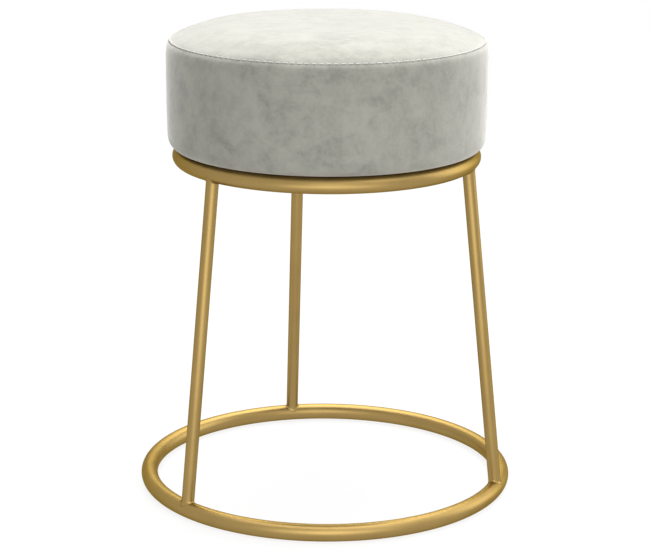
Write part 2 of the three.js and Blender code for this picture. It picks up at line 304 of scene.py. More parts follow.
class Finish(Nodes):
    """A material under construction. Its patterns lie fixed on the piece."""

    def __init__(self, name, roughness, metallic=0.0):
        self.material = bpy.data.materials.new(name)
        super().__init__(self.material)
        self.shader = self.nodes["Principled BSDF"]
        self.set(Roughness=roughness, Metallic=metallic)
        self.place = self.add("ShaderNodeTexCoord").outputs["Object"]

    def set(self, **values):
        """Plain values of the shader's own sockets."""
        put_values(self.shader, values)

    def noise(self, size, detail=2.0, stretch=(1, 1, 1), roughness=0.5, distortion=0.0):
        """Cloudy values with features of about the given size, longer along an axis with a high stretch."""
        mapping = self.add("ShaderNodeMapping", Scale=[1 / (size * factor) for factor in stretch])
        self.links.new(self.place, mapping.inputs["Vector"])
        texture = self.add("ShaderNodeTexNoise", Scale=1.0, Detail=detail, Roughness=roughness,
                           Distortion=distortion)
        self.links.new(mapping.outputs["Vector"], texture.inputs["Vector"])
        return texture.outputs["Fac"]

    def cells(self, size, **values):
        """Distance from the middles of cells of about the given size."""
        texture = self.add("ShaderNodeTexVoronoi", Scale=1 / size, **values)
        self.links.new(self.place, texture.inputs["Vector"])
        return texture.outputs["Distance"]

    def blend(self, parts):
        """Weighted sum of cloudy values."""
        total = None
        for value, weight in parts:
            weighted = self.math("MULTIPLY", value, weight)
            total = weighted if total is None else self.math("ADD", total, weighted)
        return total

    def spread(self, value, low, high, to_low, to_high):
        """The value, stretched from one range to another and held there."""
        node = self.add("ShaderNodeMapRange", From_Min=low, From_Max=high, To_Min=to_low, To_Max=to_high)
        node.interpolation_type = "SMOOTHSTEP"
        self.links.new(value, node.inputs["Value"])
        return node.outputs["Result"]

    def tones(self, value, colour, stops):
        """The base colour: at each stop's value, the colour made darker or lighter by the stop's factor."""
        node = self.add("ShaderNodeValToRGB")
        ramp = node.color_ramp
        while len(ramp.elements) < len(stops):
            ramp.elements.new(1.0)
        for element, (position, factor) in zip(ramp.elements, stops):
            element.position = position
            element.color = (*(channel * factor for channel in colour), 1.0)
        self.links.new(value, node.inputs["Fac"])
        self.links.new(node.outputs["Color"], self.shader.inputs["Base Color"])

    def rough(self, value):
        self.links.new(value, self.shader.inputs["Roughness"])

    def bumps(self, layers):
        """Heights added on top of each other. Each layer is a value, its height and its strength."""
        normal = None
        for value, distance, strength in layers:
            node = self.add("ShaderNodeBump", Distance=distance, Strength=strength)
            self.links.new(value, node.inputs["Height"])
            if normal is not None:
                self.links.new(normal, node.inputs["Normal"])
            normal = node.outputs["Normal"]
        self.links.new(normal, self.shader.inputs["Normal"])


def gold_coating():
    finish = Finish("gold_coating", roughness=0.41, metallic=1.0)
    gold = (0.33, 0.225, 0.08)
    clouds = finish.noise(30 * MM, detail=3.0)
    grain = finish.noise(0.5 * MM, detail=1.0)
    finish.tones(clouds, gold, [(0.3, 0.96), (0.7, 1.05)])
    finish.rough(finish.spread(clouds, 0.3, 0.7, 0.39, 0.43))
    finish.bumps([(grain, 0.02 * MM, 0.35)])
    finish.set(Specular_Tint=(0.5, 0.44, 0.3, 1.0))
    return finish.material


def velvet():
    finish = Finish("velvet", roughness=0.95)
    pile = (0.4, 0.4, 0.35)
    patches = finish.noise(34 * MM, detail=4.0, roughness=0.6, distortion=0.5)
    crush = finish.noise(11 * MM, detail=4.0, roughness=0.6, distortion=0.4)
    tufts = finish.noise(3.4 * MM, detail=3.0, roughness=0.6)
    fibres = finish.noise(0.45 * MM, detail=1.0, stretch=(1, 1, 2))
    nap = finish.blend([(patches, 0.45), (crush, 0.39), (tufts, 0.16)])
    finish.tones(nap, pile, [(0.38, 0.8), (0.5, 1.0), (0.62, 1.13)])
    finish.bumps([(nap, 1.5 * MM, 0.45), (tufts, 0.3 * MM, 0.3), (fibres, 0.1 * MM, 0.35)])
    finish.set(Sheen_Weight=1.0, Sheen_Roughness=0.45, Sheen_Tint=(1.0, 0.985, 0.945, 1.0))
    finish.set(Specular_IOR_Level=0.15)
    return finish.material


def sewing_thread():
    finish = Finish("sewing_thread", roughness=0.7)
    thread = (0.8, 0.8, 0.75)
    fibres = finish.noise(0.25 * MM, detail=2.0)
    finish.tones(fibres, thread, [(0.3, 0.9), (0.7, 1.06)])
    finish.bumps([(fibres, 0.05 * MM, 0.5)])
    finish.set(Sheen_Weight=0.3, Sheen_Roughness=0.4)
    return finish.material


def white_fibre():
    finish = Finish("white_fibre", roughness=1.0)
    fibre = (0.86, 0.855, 0.81)
    strands = finish.noise(2.5 * MM, detail=5.0, roughness=0.7, distortion=2.5)
    tufts = finish.noise(14 * MM, detail=3.0)
    finish.tones(strands, fibre, [(0.35, 0.88), (0.65, 1.0)])
    finish.bumps([(tufts, 1.2 * MM, 0.5), (strands, 0.5 * MM, 0.6)])
    finish.set(Sheen_Weight=0.4, Sheen_Roughness=0.5)
    return finish.material


def foam():
    finish = Finish("foam", roughness=0.95)
    cream = (0.815, 0.737, 0.479)
    pores = finish.cells(1.1 * MM)
    # Painted shade: the base colour is darker towards the middle of each pore, in the hollows that the bump
    # sinks there
    finish.tones(pores, cream, [(0.05, 0.62), (0.4, 1.0)])
    finish.bumps([(pores, 0.4 * MM, 0.8)])
    return finish.material


def plywood():
    finish = Finish("plywood", roughness=0.72)
    pale = (0.62, 0.43, 0.24)
    grain = finish.noise(5 * MM, detail=5.0, stretch=(1, 14, 1), roughness=0.65, distortion=0.5)
    pores = finish.noise(0.7 * MM, detail=2.0, stretch=(1, 20, 1))
    height = finish.add("ShaderNodeSeparateXYZ")
    finish.links.new(finish.place, height.inputs["Vector"])
    ply = 1.7 * MM
    layer = finish.math("MULTIPLY", height.outputs["Z"], FULL / (2 * ply))
    layers = finish.math("MULTIPLY", finish.math("SINE", layer, 0.0), 0.5)
    tone = finish.blend([(grain, 0.6), (layers, 0.28), (pores, 0.25)])
    finish.tones(tone, pale, [(0.2, 0.66), (0.5, 1.0), (0.75, 1.12)])
    finish.bumps([(grain, 0.2 * MM, 0.4), (pores, 0.08 * MM, 0.5)])
    return finish.material


def black_cloth():
    finish = Finish("black_cloth", roughness=0.9)
    black = (0.014, 0.014, 0.015)
    dots = finish.cells(1.6 * MM, Randomness=0.15)
    bonds = finish.spread(dots, 0.18, 0.34, 0.0, 1.0)
    fibres = finish.noise(1.2 * MM, detail=4.0, roughness=0.7, distortion=3.0)
    tone = finish.blend([(bonds, 0.5), (fibres, 0.5)])
    finish.tones(tone, black, [(0.2, 0.75), (0.8, 2.1)])
    finish.bumps([(bonds, 0.12 * MM, 0.6), (fibres, 0.1 * MM, 0.5)])
    finish.set(Sheen_Weight=0.25, Sheen_Roughness=0.5)
    return finish.material


def zinc_plate():
    finish = Finish("zinc_plate", roughness=0.34, metallic=1.0)
    zinc = (0.52, 0.535, 0.55)
    clouds = finish.noise(4 * MM, detail=3.0)
    scratches = finish.noise(0.6 * MM, detail=2.0, stretch=(1, 6, 1))
    finish.tones(clouds, zinc, [(0.3, 0.82), (0.7, 1.08)])
    finish.rough(finish.spread(clouds, 0.3, 0.7, 0.26, 0.42))
    finish.bumps([(scratches, 0.03 * MM, 0.4)])
    return finish.material


FINISHES = {
    "gold_coating": gold_coating(),
    "velvet": velvet(),
    "sewing_thread": sewing_thread(),
    "white_fibre": white_fibre(),
    "foam": foam(),
    "plywood": plywood(),
    "black_cloth": black_cloth(),
    "zinc_plate": zinc_plate(),
}


# Frame of hoops and legs

weld_fillet = 1.4 * MM
weld_sink = 0.3 * MM
search_reach = 3 * base_tube
FILLET_STEPS = 5
LEG_ROWS = 24
HALVINGS = 40


def hoop(name, node, ring_radius, height, tube):
    """A hoop of round tube with a fine surface."""
    spots = [polar(tube, turn) for turn in even_turns(TUBE_SIDES)]
    profile = [(ring_radius + out, height + rise) for out, rise in spots]
    piece(name, turned_ring(profile, HOOP_COLUMNS), "gold_coating", (node,))


def distance_from_hoop(point, ring_radius, height):
    """How far a point is from the middle line of a hoop's tube."""
    return math.hypot(math.hypot(point.x, point.y) - ring_radius, point.z - height)


def leg_row(start, along, radius, ring, distance):
    """Points round a leg where it comes out of the skin at a distance from a hoop's middle line."""
    side = Vector((0, 1, 0))
    front = along.cross(side)
    row = []
    for turn in even_turns(LEG_COLUMNS):
        offset = radius * (math.cos(turn) * side + math.sin(turn) * front)
        near = 0.0
        far = search_reach
        for _ in range(HALVINGS):
            half = (near + far) / 2
            if distance_from_hoop(start + offset + half * along, *ring) < distance:
                near = half
            else:
                far = half
        row.append(start + offset + far * along)
    return row


def leg_end_rows(start, along, ring, tube):
    """Rows from inside the hoop, over the weld's fillet, to the plain tube."""
    rows = [leg_row(start, along, leg_tube, ring, tube - weld_sink)]
    for angle in quarter_turns(FILLET_STEPS):
        radius = leg_tube + weld_fillet * (1 - math.sin(angle))
        distance = tube + weld_fillet * (1 - math.cos(angle))
        rows.append(leg_row(start, along, radius, ring, distance))
    return rows


def leg(name, node):
    """A straight tube from hoop to hoop, its ends cut round the hoops and welded."""
    foot = Vector((base_radius, 0, base_height))
    head = Vector((top_radius, 0, top_height))
    along = (head - foot).normalized()
    lower = leg_end_rows(foot, along, (base_radius, base_height), base_tube)
    upper = leg_end_rows(head, -along, (top_radius, top_height), top_tube)
    # The upper rows run the other way round, because they were made looking down
    upper = [[row[-column % LEG_COLUMNS] for column in range(LEG_COLUMNS)] for row in upper]
    middle_rows = []
    for step in range(1, LEG_ROWS):
        share = step / LEG_ROWS
        middle_rows.append([low.lerp(high, share) for low, high in zip(lower[-1], upper[-1])])
    body = body_of_rows(lower + middle_rows + upper[::-1])
    piece_at_node(name, node, body, "gold_coating", smooth=True)


def frame_pieces():
    hoop("base_hoop", "base_ring", base_radius, base_height, base_tube)
    hoop("top_hoop", "top_ring", top_radius, top_height, top_tube)
    for node in ("leg_rear", "leg_left", "leg_right"):
        leg(node + "_tube", node)


# Cushion

swell_limit = 0.35 * MM
sink_limit = 0.18 * MM
SWELL_FRAMES = 20
SWELL_PRESSURE = 20.0
SWELL_QUALITY = 6
SIDE_ROWS = 14
CORNER_ROWS = 4
HEM_ROWS = 4
SUBDIVISIONS = 2
SIDE_INDEX = 0
TOP_INDEX = 1
seam_draw_power = 1.3
layer_shoulder_power = 2.0
cover_shoulder_power = 4.0

stitch_count = SEAT_COLUMNS
stitch_share = 0.7
stitch_dip = 0.9 * MM
stitch_dip_power = 6
strand_radius = 0.3 * MM
strand_offset = 0.26 * MM
strand_turns = 2.5
stitch_lift = 0.1 * MM
STRANDS = 2
STITCH_STEPS = 9
STRAND_SIDES = 6

pucker_depth = 0.13 * MM
pucker_reach = 5 * MM
seam_gap = 0.08 * MM
seam_gap_reach = 4 * MM
unevenness = 0.25 * MM
unevenness_size = 55 * MM
unevenness_reach = 4 * pucker_reach

# The roll beside the seam follows share * (1 - share) ** 2, which is 4 / 27 at its highest
roll_height = 0.5 * MM
roll_reach = 16 * MM
roll_factor = 27 / 4


def side_radius(height, inset=0.0):
    """Radius of the cushion's side at a height, moved in by the layers over it."""
    if height < corner_top:
        drop = min(1.0, (corner_top - height) / (corner_rise - inset))
        return board_edge + (corner_reach - inset) * math.sqrt(1 - drop * drop)
    if height < shoulder_foot:
        left = (shoulder_foot - height) / (shoulder_foot - corner_top)
        return seat_radius - side_bulge * left * left - inset
    rise = min(1.0, (height - shoulder_foot) / shoulder_drop)
    power = layer_shoulder_power if inset else cover_shoulder_power
    return seam_radius + shoulder_reach * (1 - rise ** power) ** (1 / power) - inset


def crown_height(radius, inset=0.0):
    """Height of the cushion's top at a radius, moved in the same way."""
    share = radius / seam_radius
    slope = crown_rise * crown_power * share ** (crown_power - 1) / seam_radius
    return seam_height + crown_rise * (1 - share ** crown_power) - inset * math.hypot(1, slope)


def drawn_to_seam(share):
    """The share, drawn towards 1, so that rows and rings lie closer together near the seam."""
    return 1 - (1 - share) ** seam_draw_power


def side_path(inset, lowest):
    """Side of a layer, from its lowest height up to the seam."""
    path = []
    for angle in quarter_turns(CORNER_ROWS):
        height = corner_top - (corner_rise - inset) * math.cos(angle)
        if height > lowest + clearance:
            path.append((side_radius(height, inset), height))
    for step in range(1, SIDE_ROWS + 1):
        height = corner_top + (seam_height - corner_top) * drawn_to_seam(step / SIDE_ROWS)
        path.append((side_radius(height, inset), height))
    return path


def cover_side_path():
    """The side of the cover, from its hem under the board to the seam."""
    hem = [
        (hem_radius + (board_edge - hem_radius) * step / HEM_ROWS, seat_underside)
        for step in range(HEM_ROWS + 1)
    ]
    return hem + side_path(0.0, seat_underside)


def square_ring_index(across, along):
    """Ring and place on it of a cell corner of a square grid, counted from the right, anticlockwise."""
    ring = max(abs(across), abs(along))
    if ring == 0:
        return 0, 0
    if across == ring and along > -ring:
        return ring, along % (8 * ring)
    if along == ring:
        return ring, 2 * ring - across
    if across == -ring:
        return ring, 4 * ring - along
    return ring, 6 * ring + across


def top_grid():
    """A round top made of even quads: rings of 8, 16, 24 points and so on round one middle point."""
    points = []
    index_of = {}
    for across in range(-TOP_RINGS, TOP_RINGS + 1):
        for along in range(-TOP_RINGS, TOP_RINGS + 1):
            ring, place = square_ring_index(across, along)
            radius = seam_radius * drawn_to_seam(ring / TOP_RINGS)
            turn = FULL * place / (8 * ring) if ring else 0.0
            index_of[across, along] = len(points)
            points.append((*polar(radius, turn), crown_height(radius)))
    faces = []
    for across in range(-TOP_RINGS, TOP_RINGS):
        for along in range(-TOP_RINGS, TOP_RINGS):
            corners = [(0, 0), (1, 0), (1, 1), (0, 1)]
            faces.append(tuple(index_of[across + right, along + up] for right, up in corners))
    return points, faces


def cover_surface():
    """The outer face of the whole cover in one mesh. Material indices tell its side and its top apart."""
    path = cover_side_path()
    side_faces = grid_faces(len(path), SEAT_COLUMNS)
    mesh = mesh_of("cover_surface", joined([(turned_points(path, SEAT_COLUMNS), side_faces), top_grid()]))
    for _ in (SIDE_INDEX, TOP_INDEX):
        mesh.materials.append(FINISHES["velvet"])
    for polygon in mesh.polygons:
        polygon.material_index = SIDE_INDEX if polygon.index < len(side_faces) else TOP_INDEX
    cleaned(mesh, merged=True)
    return added("cover_surface", mesh)


def point_values(mesh, kind):
    """The places or normals of the mesh's points, kind "co" or "normal", as an array."""
    flat = np.empty(3 * len(mesh.vertices))
    mesh.vertices.foreach_get(kind, flat)
    return flat.reshape(-1, 3)


def swell(surface):
    """Blows the cover up a little with a cloth simulation, held at its seam and under the board."""
    shape = point_values(surface.data, "co")
    radii = np.hypot(shape[:, 0], shape[:, 1])
    under_board = (shape[:, 2] < seat_underside + clearance) & (radii < board_edge + clearance)
    held = (seam_distance(shape) < clearance) | under_board
    directions = point_values(surface.data, "normal")
    group = surface.vertex_groups.new(name="held")
    group.add(np.flatnonzero(held).tolist(), 1.0, "REPLACE")
    cloth = surface.modifiers.new("cloth", "CLOTH")
    settings = cloth.settings
    settings.quality = SWELL_QUALITY
    settings.use_pressure = True
    settings.uniform_pressure_force = SWELL_PRESSURE
    settings.vertex_group_mass = group.name
    settings.effector_weights.gravity = 0.0
    cloth.point_cache.frame_start = 1
    cloth.point_cache.frame_end = SWELL_FRAMES
    for number in range(1, SWELL_FRAMES + 1):
        bpy.context.scene.frame_set(number)
    swollen = point_values(as_shown(surface).data, "co")
    surface.modifiers.remove(cloth)
    bpy.context.scene.frame_set(1)
    outward = ((swollen - shape) * directions).sum(axis=1)
    limit = np.where(outward > 0, swell_limit, sink_limit)
    places = shape + directions * (limit * np.tanh(outward / limit))[:, None]
    surface.data.vertices.foreach_set("co", places.ravel())
    surface.data.update()


def refined(surface):
    """The surface's mesh, subdivided."""
    modifier = surface.modifiers.new("fine", "SUBSURF")
    modifier.levels = SUBDIVISIONS
    modifier.render_levels = SUBDIVISIONS
    modifier.boundary_smooth = "PRESERVE_CORNERS"
    fine = bpy.data.meshes.new_from_object(as_shown(surface))
    surface.modifiers.remove(modifier)
    return fine


def seam_distance(places):
    """How far points are from the seam, across or down."""
    radii = np.hypot(places[:, 0], places[:, 1])
    return np.hypot(radii - seam_radius, places[:, 2] - seam_height)


def sewn(places, directions, is_top):
    """The cover pulled in at its stitches, parted at the seam, rolled beside it and a little uneven."""
    angles = np.arctan2(places[:, 1], places[:, 0])
    away = seam_distance(places)
    near = np.clip(1 - away / pucker_reach, 0, 1) ** 2
    wave = 0.5 + 0.5 * np.cos(angles * stitch_count)
    moved_in = -pucker_depth * near * wave
    soft = np.array([0.5 + 0.5 * noise.noise(Vector(place) / unevenness_size) for place in places])
    fade = np.clip(away / unevenness_reach, 0, 1)
    lifted = places[:, 2] > corner_top
    out = places + directions * (moved_in + unevenness * soft * fade * lifted)[:, None]
    gap = seam_gap * np.clip(1 - away / seam_gap_reach, 0, 1)
    if not is_top:
        out[:, 2] -= gap
        return out
    share = np.clip(away / roll_reach, 0, 1)
    out[:, 2] += roll_height * roll_factor * share * (1 - share) ** 2
    slope = math.atan(crown_rise * crown_power / seam_radius)
    outward = np.column_stack([np.cos(angles), np.sin(angles), np.zeros(len(angles))])
    return out + gap[:, None] * (-math.cos(slope) * outward + np.array([0, 0, math.sin(slope)]))


def half_of(mesh, material_index):
    """Points, faces and the whole mesh's normals of the part of a mesh with that material index."""
    faces = [tuple(polygon.vertices) for polygon in mesh.polygons if polygon.material_index == material_index]
    used = sorted({index for face in faces for index in face})
    new_index = {old: new for new, old in enumerate(used)}
    kept = [tuple(new_index[index] for index in face) for face in faces]
    return point_values(mesh, "co")[used], kept, point_values(mesh, "normal")[used]


def point_normals(points, faces):
    """Normals at the points, from the faces round them."""
    total = np.zeros_like(points)
    for face in faces:
        corners = points[list(face)]
        normal = np.cross(corners[2] - corners[0], corners[-1] - corners[1])
        for index in face:
            total[index] += normal
    return total / np.linalg.norm(total, axis=1, keepdims=True)


def border_edges(faces):
    """Edges that only one face has, in the direction in which that face runs."""
    edges = [edge for face in faces for edge in zip(face, face[1:] + face[:1])]
    known = set(edges)
    return [edge for edge in edges if edge[::-1] not in known]


def shell(points, faces, directions, thickness):
    """A closed sheet with the surface as its outer face and a flat rim along its borders."""
    count = len(points)
    skins = [*faces, *(tuple(count + index for index in reversed(face)) for face in faces)]
    rim = [(end, start, count + start, count + end) for start, end in border_edges(faces)]
    return [*points, *(points - thickness * directions)], skins + rim


def cover_piece(name, node, fine, material_index):
    """One panel of the velvet cover, cut from the swollen surface."""
    points, faces, shared = half_of(fine, material_index)
    places = sewn(points, point_normals(points, faces), material_index == TOP_INDEX)
    directions = point_normals(places, faces)
    # Both panels are cut along the line that halves the corner, so that their rims stay apart
    at_seam = [index for edge in border_edges(faces) for index in edge if places[index][2] > corner_top]
    directions[at_seam] = shared[at_seam]
    made = piece(name, shell(places, faces, directions, cover_thickness), "velvet", (node,))


def strand(number, start_turn):
    """One of the two strands of a stitch, laid round the other."""
    ring_radius = (thread_high.x + seam_radius - cover_thickness / 2) / 2
    height = thread_low.z + strand_radius + stitch_lift
    path = []
    for step in range(STITCH_STEPS):
        share = step / (STITCH_STEPS - 1)
        angle = FULL / stitch_count * (number + 0.5 + stitch_share * (share - 0.5))
        dip = stitch_dip * abs(2 * share - 1) ** stitch_dip_power
        turn = FULL * strand_turns * share + start_turn
        radius = ring_radius + strand_offset * math.cos(turn)
        level = height - dip + strand_offset * math.sin(turn)
        path.append(Vector((*polar(radius, angle), level)))
    return swept(path, round_section(lambda index: strand_radius, STRAND_SIDES))


def stitches():
    """Every stitch of the seam by itself."""
    strands = [strand(number, turn) for number in range(stitch_count) for turn in even_turns(STRANDS)]
    piece("seam_stitches", joined(strands), "sewing_thread", ("seam_thread",))


def filling_profile(inset, lowest):
    """Side and top of a filling layer, from its lower edge towards the axis."""
    edge_radius = seam_radius - inset
    highest = crown_height(edge_radius, inset) - clearance
    side = [(radius, height) for radius, height in side_path(inset, lowest) if height < highest]
    top = []
    for ring in range(TOP_RINGS, 0, -1):
        radius = edge_radius * drawn_to_seam(ring / TOP_RINGS)
        top.append((radius, crown_height(radius, inset)))
    return [(side_radius(lowest, inset), lowest), *side, *top]


def foam_piece():
    """The block of foam that fills the cover."""
    inset = cover_thickness + wadding_thickness + 2 * clearance
    profile = filling_profile(inset, foam_low.z)
    body = turned_points(profile, SEAT_COLUMNS), closed_faces(len(profile), SEAT_COLUMNS)
    made = piece("foam_block", body, "foam", ("foam_pad",))


def wadding_piece():
    """The sheet of fibre between foam and cover."""
    outside = filling_profile(cover_thickness + clearance, wadding_low.z)
    inside = filling_profile(cover_thickness + wadding_thickness + clearance, wadding_low.z)
    profile = [*outside, *reversed(inside)]
    points, skin = turned_ring(profile, SEAT_COLUMNS)
    # The innermost rows are closed by one face each, and the rest is one skin round the sheet
    last = len(outside) * SEAT_COLUMNS
    first = last - SEAT_COLUMNS
    faces = [face for face in skin if not first <= face[0] < last]
    faces += [tuple(range(start, start + SEAT_COLUMNS)) for start in (first, last)]
    made = piece("fibre_wadding", (points, faces), "white_fibre", ("wadding",))


def cushion():
    surface = cover_surface()
    swell(surface)
    fine = refined(surface)
    cover_piece("side_cover", "cover_side_band", fine, SIDE_INDEX)
    cover_piece("top_cover", "cover_top_panel", fine, TOP_INDEX)
    bpy.data.objects.remove(surface)
    stitches()
    foam_piece()
    wadding_piece()


# Underside

BOLTS = nodes_named("seat_bolt_")
bolt_circle = distance_out(BOLTS[0])
bolt_radius = 3 * MM
bolt_hole = bolt_radius + clearance

cloth_spacing = 4 * MM
cloth_tolerance = 0.0003 * MM
hole_margin_share = 0.98
hanging_radius = bolt_circle - 3 * bolt_radius
sag_depth = 0.9 * MM
sag_growth = 2
ripple_depth = 0.5 * MM
ripple_size = 25 * MM
ripple_growth = 3

plate_half_width = 10 * MM
plate_ease = 0.5 * MM
plate_root = top_radius - top_tube / 2
PLATE_ARC_STEPS = SMALL_COLUMNS // 2

bead_radius = 1.5 * MM
bead_sink = bead_radius / 3
bead_half_length = 9 * MM
bead_ripple = 1.3 * MM
bead_ripple_share = 0.07
bead_end_share = 0.05
bead_power = 4
BEAD_STEPS = 60
BEAD_SIDES = 14

head_radius = 5.25 * MM
head_height = 3.3 * MM
socket_corner = 2.3 * MM
socket_depth = 2 * MM
socket_middle_share = 0.3
dome_shares = (0.25, 0.5, 0.7, 0.85, 0.95, 0.985)
lip = 0.18 * MM

flat_washer_radius = 6 * MM
flat_washer_ease = 0.2 * MM
spring_washer_radius = 5.6 * MM
spring_washer_ease = 0.15 * MM
spring_washer_split = 1 * MM
spring_washer_kick = 0.1 * MM

staple_wire = 0.7 * MM
staple_cut = 0.12 * MM
staple_half_crown = 5 * MM
staple_bend = 0.9 * MM
STAPLE_BEND_STEPS = 4


def circle_points(radius, count, centre=(0.0, 0.0)):
    return [Vector(centre) + Vector(polar(radius, turn)) for turn in even_turns(count)]


def cloth_rims(holes):
    """Points of the dust cover's rim and of its holes' rims, and the edges between them."""
    loops = [circle_points(dust_radius, SEAT_COLUMNS)]
    loops += [circle_points(bolt_hole, SMALL_COLUMNS // 2, hole) for hole in holes]
    edges = []
    for loop in loops:
        first = len(edges)
        edges += [(first + index, first + (index + 1) % len(loop)) for index in range(len(loop))]
    return [spot for loop in loops for spot in loop], edges


def cloth_grid(holes):
    """Even places on the dust cover, clear of its rims."""
    row_step = cloth_spacing * math.sqrt(3) / 2
    reach = int(dust_radius / cloth_spacing) + 1
    spots = []
    for row in range(-reach, reach + 1):
        for column in range(-reach, reach + 1):
            spot = Vector(((column + (row % 2) / 2) * cloth_spacing, row * row_step))
            clear = all((spot - hole).length > bolt_hole + cloth_spacing / 2 for hole in holes)
            if spot.length < dust_radius - cloth_spacing / 2 and clear:
                spots.append(spot)
    return spots


def cloth_drop(spot):
    """How far the dust cover hangs down: a slow sag in the middle and ripples over it."""
    free = max(0.0, 1 - spot.length / hanging_radius)
    sag = sag_depth * (1 - (1 - min(1.0, sag_growth * free)) ** 2)
    waves = noise.noise(Vector((spot.x, spot.y, 0)) / ripple_size)
    return sag + ripple_depth * (0.5 + 0.5 * waves) * min(1.0, ripple_growth * free)


def dust_cover():
    """Thin black cloth over the underside, stapled along its rim, with a hole for each bolt."""
    holes = [Vector(polar(bolt_circle, azimuth(node))) for node in BOLTS]
    rims, edges = cloth_rims(holes)
    flat, _, triangles, *_ = delaunay_2d_cdt([*rims, *cloth_grid(holes)], edges, [], 0, cloth_tolerance)
    faces = []
    for triangle in triangles:
        centre = sum((flat[index] for index in triangle), Vector((0, 0))) / len(triangle)
        if all((centre - hole).length > bolt_hole * hole_margin_share for hole in holes):
            faces.append(tuple(reversed(triangle)))
    points = np.array([(spot.x, spot.y, dust_low.z - cloth_drop(spot)) for spot in flat])
    down = np.array([0.0, 0.0, -1.0])
    body = shell(points, faces, down, dust_high.z - dust_low.z)
    made = piece("dust_cloth", body, "black_cloth", ("dust_cover",))


def hoop_inside(height):
    """Radius of the top hoop's inner skin at a height."""
    rise = min(top_tube, height - top_height)
    return top_radius - math.sqrt(top_tube ** 2 - rise ** 2)


def plate_loops():
    """Outline and bolt hole of a bracket that lies in line with +X."""
    outline = [(plate_root, -plate_half_width), (plate_root, plate_half_width)]
    for step in range(PLATE_ARC_STEPS + 1):
        across, along = polar(plate_half_width, math.pi / 2 + math.pi * step / PLATE_ARC_STEPS)
        outline.append((bolt_circle + across, along))
    return outline, circle_points(bolt_hole, SMALL_COLUMNS, (bolt_circle, 0.0))[::-1]


def eased_plate(name, thickness):
    """Mesh of a bracket in line with +X, its edges eased all round."""
    curve = bpy.data.curves.new(name, "CURVE")
    curve.dimensions = "2D"
    curve.fill_mode = "BOTH"
    curve.extrude = thickness / 2 - plate_ease
    curve.bevel_depth = plate_ease
    curve.bevel_resolution = 2
    curve.offset = -plate_ease
    for loop in plate_loops():
        spline = curve.splines.new("POLY")
        spline.points.add(len(loop) - 1)
        for point, (across, along) in zip(spline.points, loop):
            point.co = (across, along, 0, 1)
        spline.use_cyclic_u = True
    holder = added(name, curve)
    mesh = bpy.data.meshes.new_from_object(as_shown(holder))
    bpy.data.objects.remove(holder)
    cleaned(mesh, merged=True)
    return mesh


def plate(name, node):
    """A flat steel bracket, welded inside the top hoop."""
    low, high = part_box(node)
    mesh = eased_plate(name, high.z - low.z)
    points = [vertex.co + Vector((0, 0, (low.z + high.z) / 2)) for vertex in mesh.vertices]
    for point in points:
        if point.x > top_radius - top_tube:
            point.x = hoop_inside(point.z) + weld_sink
    faces = [tuple(polygon.vertices) for polygon in mesh.polygons]
    piece_at_node(name, node, (points, faces), "gold_coating")


def weld_bead(name, node):
    """The rippled bead under a bracket, where it meets the hoop."""
    low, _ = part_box(node)
    shares = [2 * step / BEAD_STEPS - 1 for step in range(BEAD_STEPS + 1)]
    inner = hoop_inside(low.z) - bead_sink
    path = [Vector((inner, bead_half_length * share, low.z - bead_sink)) for share in shares]

    def radius_at(index):
        taper = math.sqrt(max(bead_end_share, 1 - shares[index] ** bead_power))
        wave = math.cos(FULL * bead_half_length * shares[index] / bead_ripple)
        return bead_radius * taper * (1 + bead_ripple_share * wave)

    body = swept(path, round_section(radius_at, BEAD_SIDES))
    piece_at_node(name, node, body, "gold_coating", replaced=False, smooth=True)


def on_bolt_circle(body):
    """The body, moved from the stool's axis to the bolt circle."""
    points, faces = body
    return [Vector(point) + Vector((bolt_circle, 0, 0)) for point in points], faces


def bolt(name, node):
    """A button-head bolt seen from below, with a hexagon socket in its dome."""
    low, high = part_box(node)
    seat = low.z + head_height
    floor_height = low.z + socket_depth
    rows = []

    def hexagon(turn):
        half_side = math.pi / 6
        return socket_corner * math.cos(half_side) / math.cos((turn % (2 * half_side)) - half_side)

    def dome(radius):
        return seat - head_height * math.sqrt(max(0.0, 1 - (radius / head_radius) ** 2))

    def row(radius_at, height_at):
        turns = even_turns(SMALL_COLUMNS)
        rows.append([(*polar(radius_at(turn), turn), height_at(radius_at(turn))) for turn in turns])

    row(lambda turn: hexagon(turn) * socket_middle_share, lambda radius: floor_height + lip)
    row(lambda turn: hexagon(turn) - lip, lambda radius: floor_height)
    row(hexagon, lambda radius: floor_height - lip)
    row(hexagon, lambda radius: dome(radius) + lip)
    row(lambda turn: hexagon(turn) + lip, dome)
    for share in dome_shares:
        row(lambda turn: (1 - share) * (hexagon(turn) + lip) + share * head_radius, dome)
    row(lambda turn: head_radius, lambda radius: seat - lip)
    row(lambda turn: head_radius - lip, lambda radius: seat)
    row(lambda turn: bolt_radius, lambda radius: seat)
    row(lambda turn: bolt_radius, lambda radius: high.z - 2 * lip)
    row(lambda turn: bolt_radius - 2 * lip, lambda radius: high.z)
    piece_at_node(name, node, on_bolt_circle(body_of_rows(rows)), "zinc_plate", smooth=True)


def eased_rectangle(low, high, ease):
    """Corners of a rectangle of radius and height, each cut by a small slope."""
    (inner, bottom), (outer, top) = low, high
    return [
        (inner + ease, bottom), (outer - ease, bottom), (outer, bottom + ease), (outer, top - ease),
        (outer - ease, top), (inner + ease, top), (inner, top - ease), (inner, bottom + ease),
    ]


def flat_washer(name, node):
    low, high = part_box(node)
    profile = eased_rectangle((bolt_hole, low.z), (flat_washer_radius, high.z), flat_washer_ease)
    piece_at_node(name, node, on_bolt_circle(turned_ring(profile, SMALL_COLUMNS)), "zinc_plate")


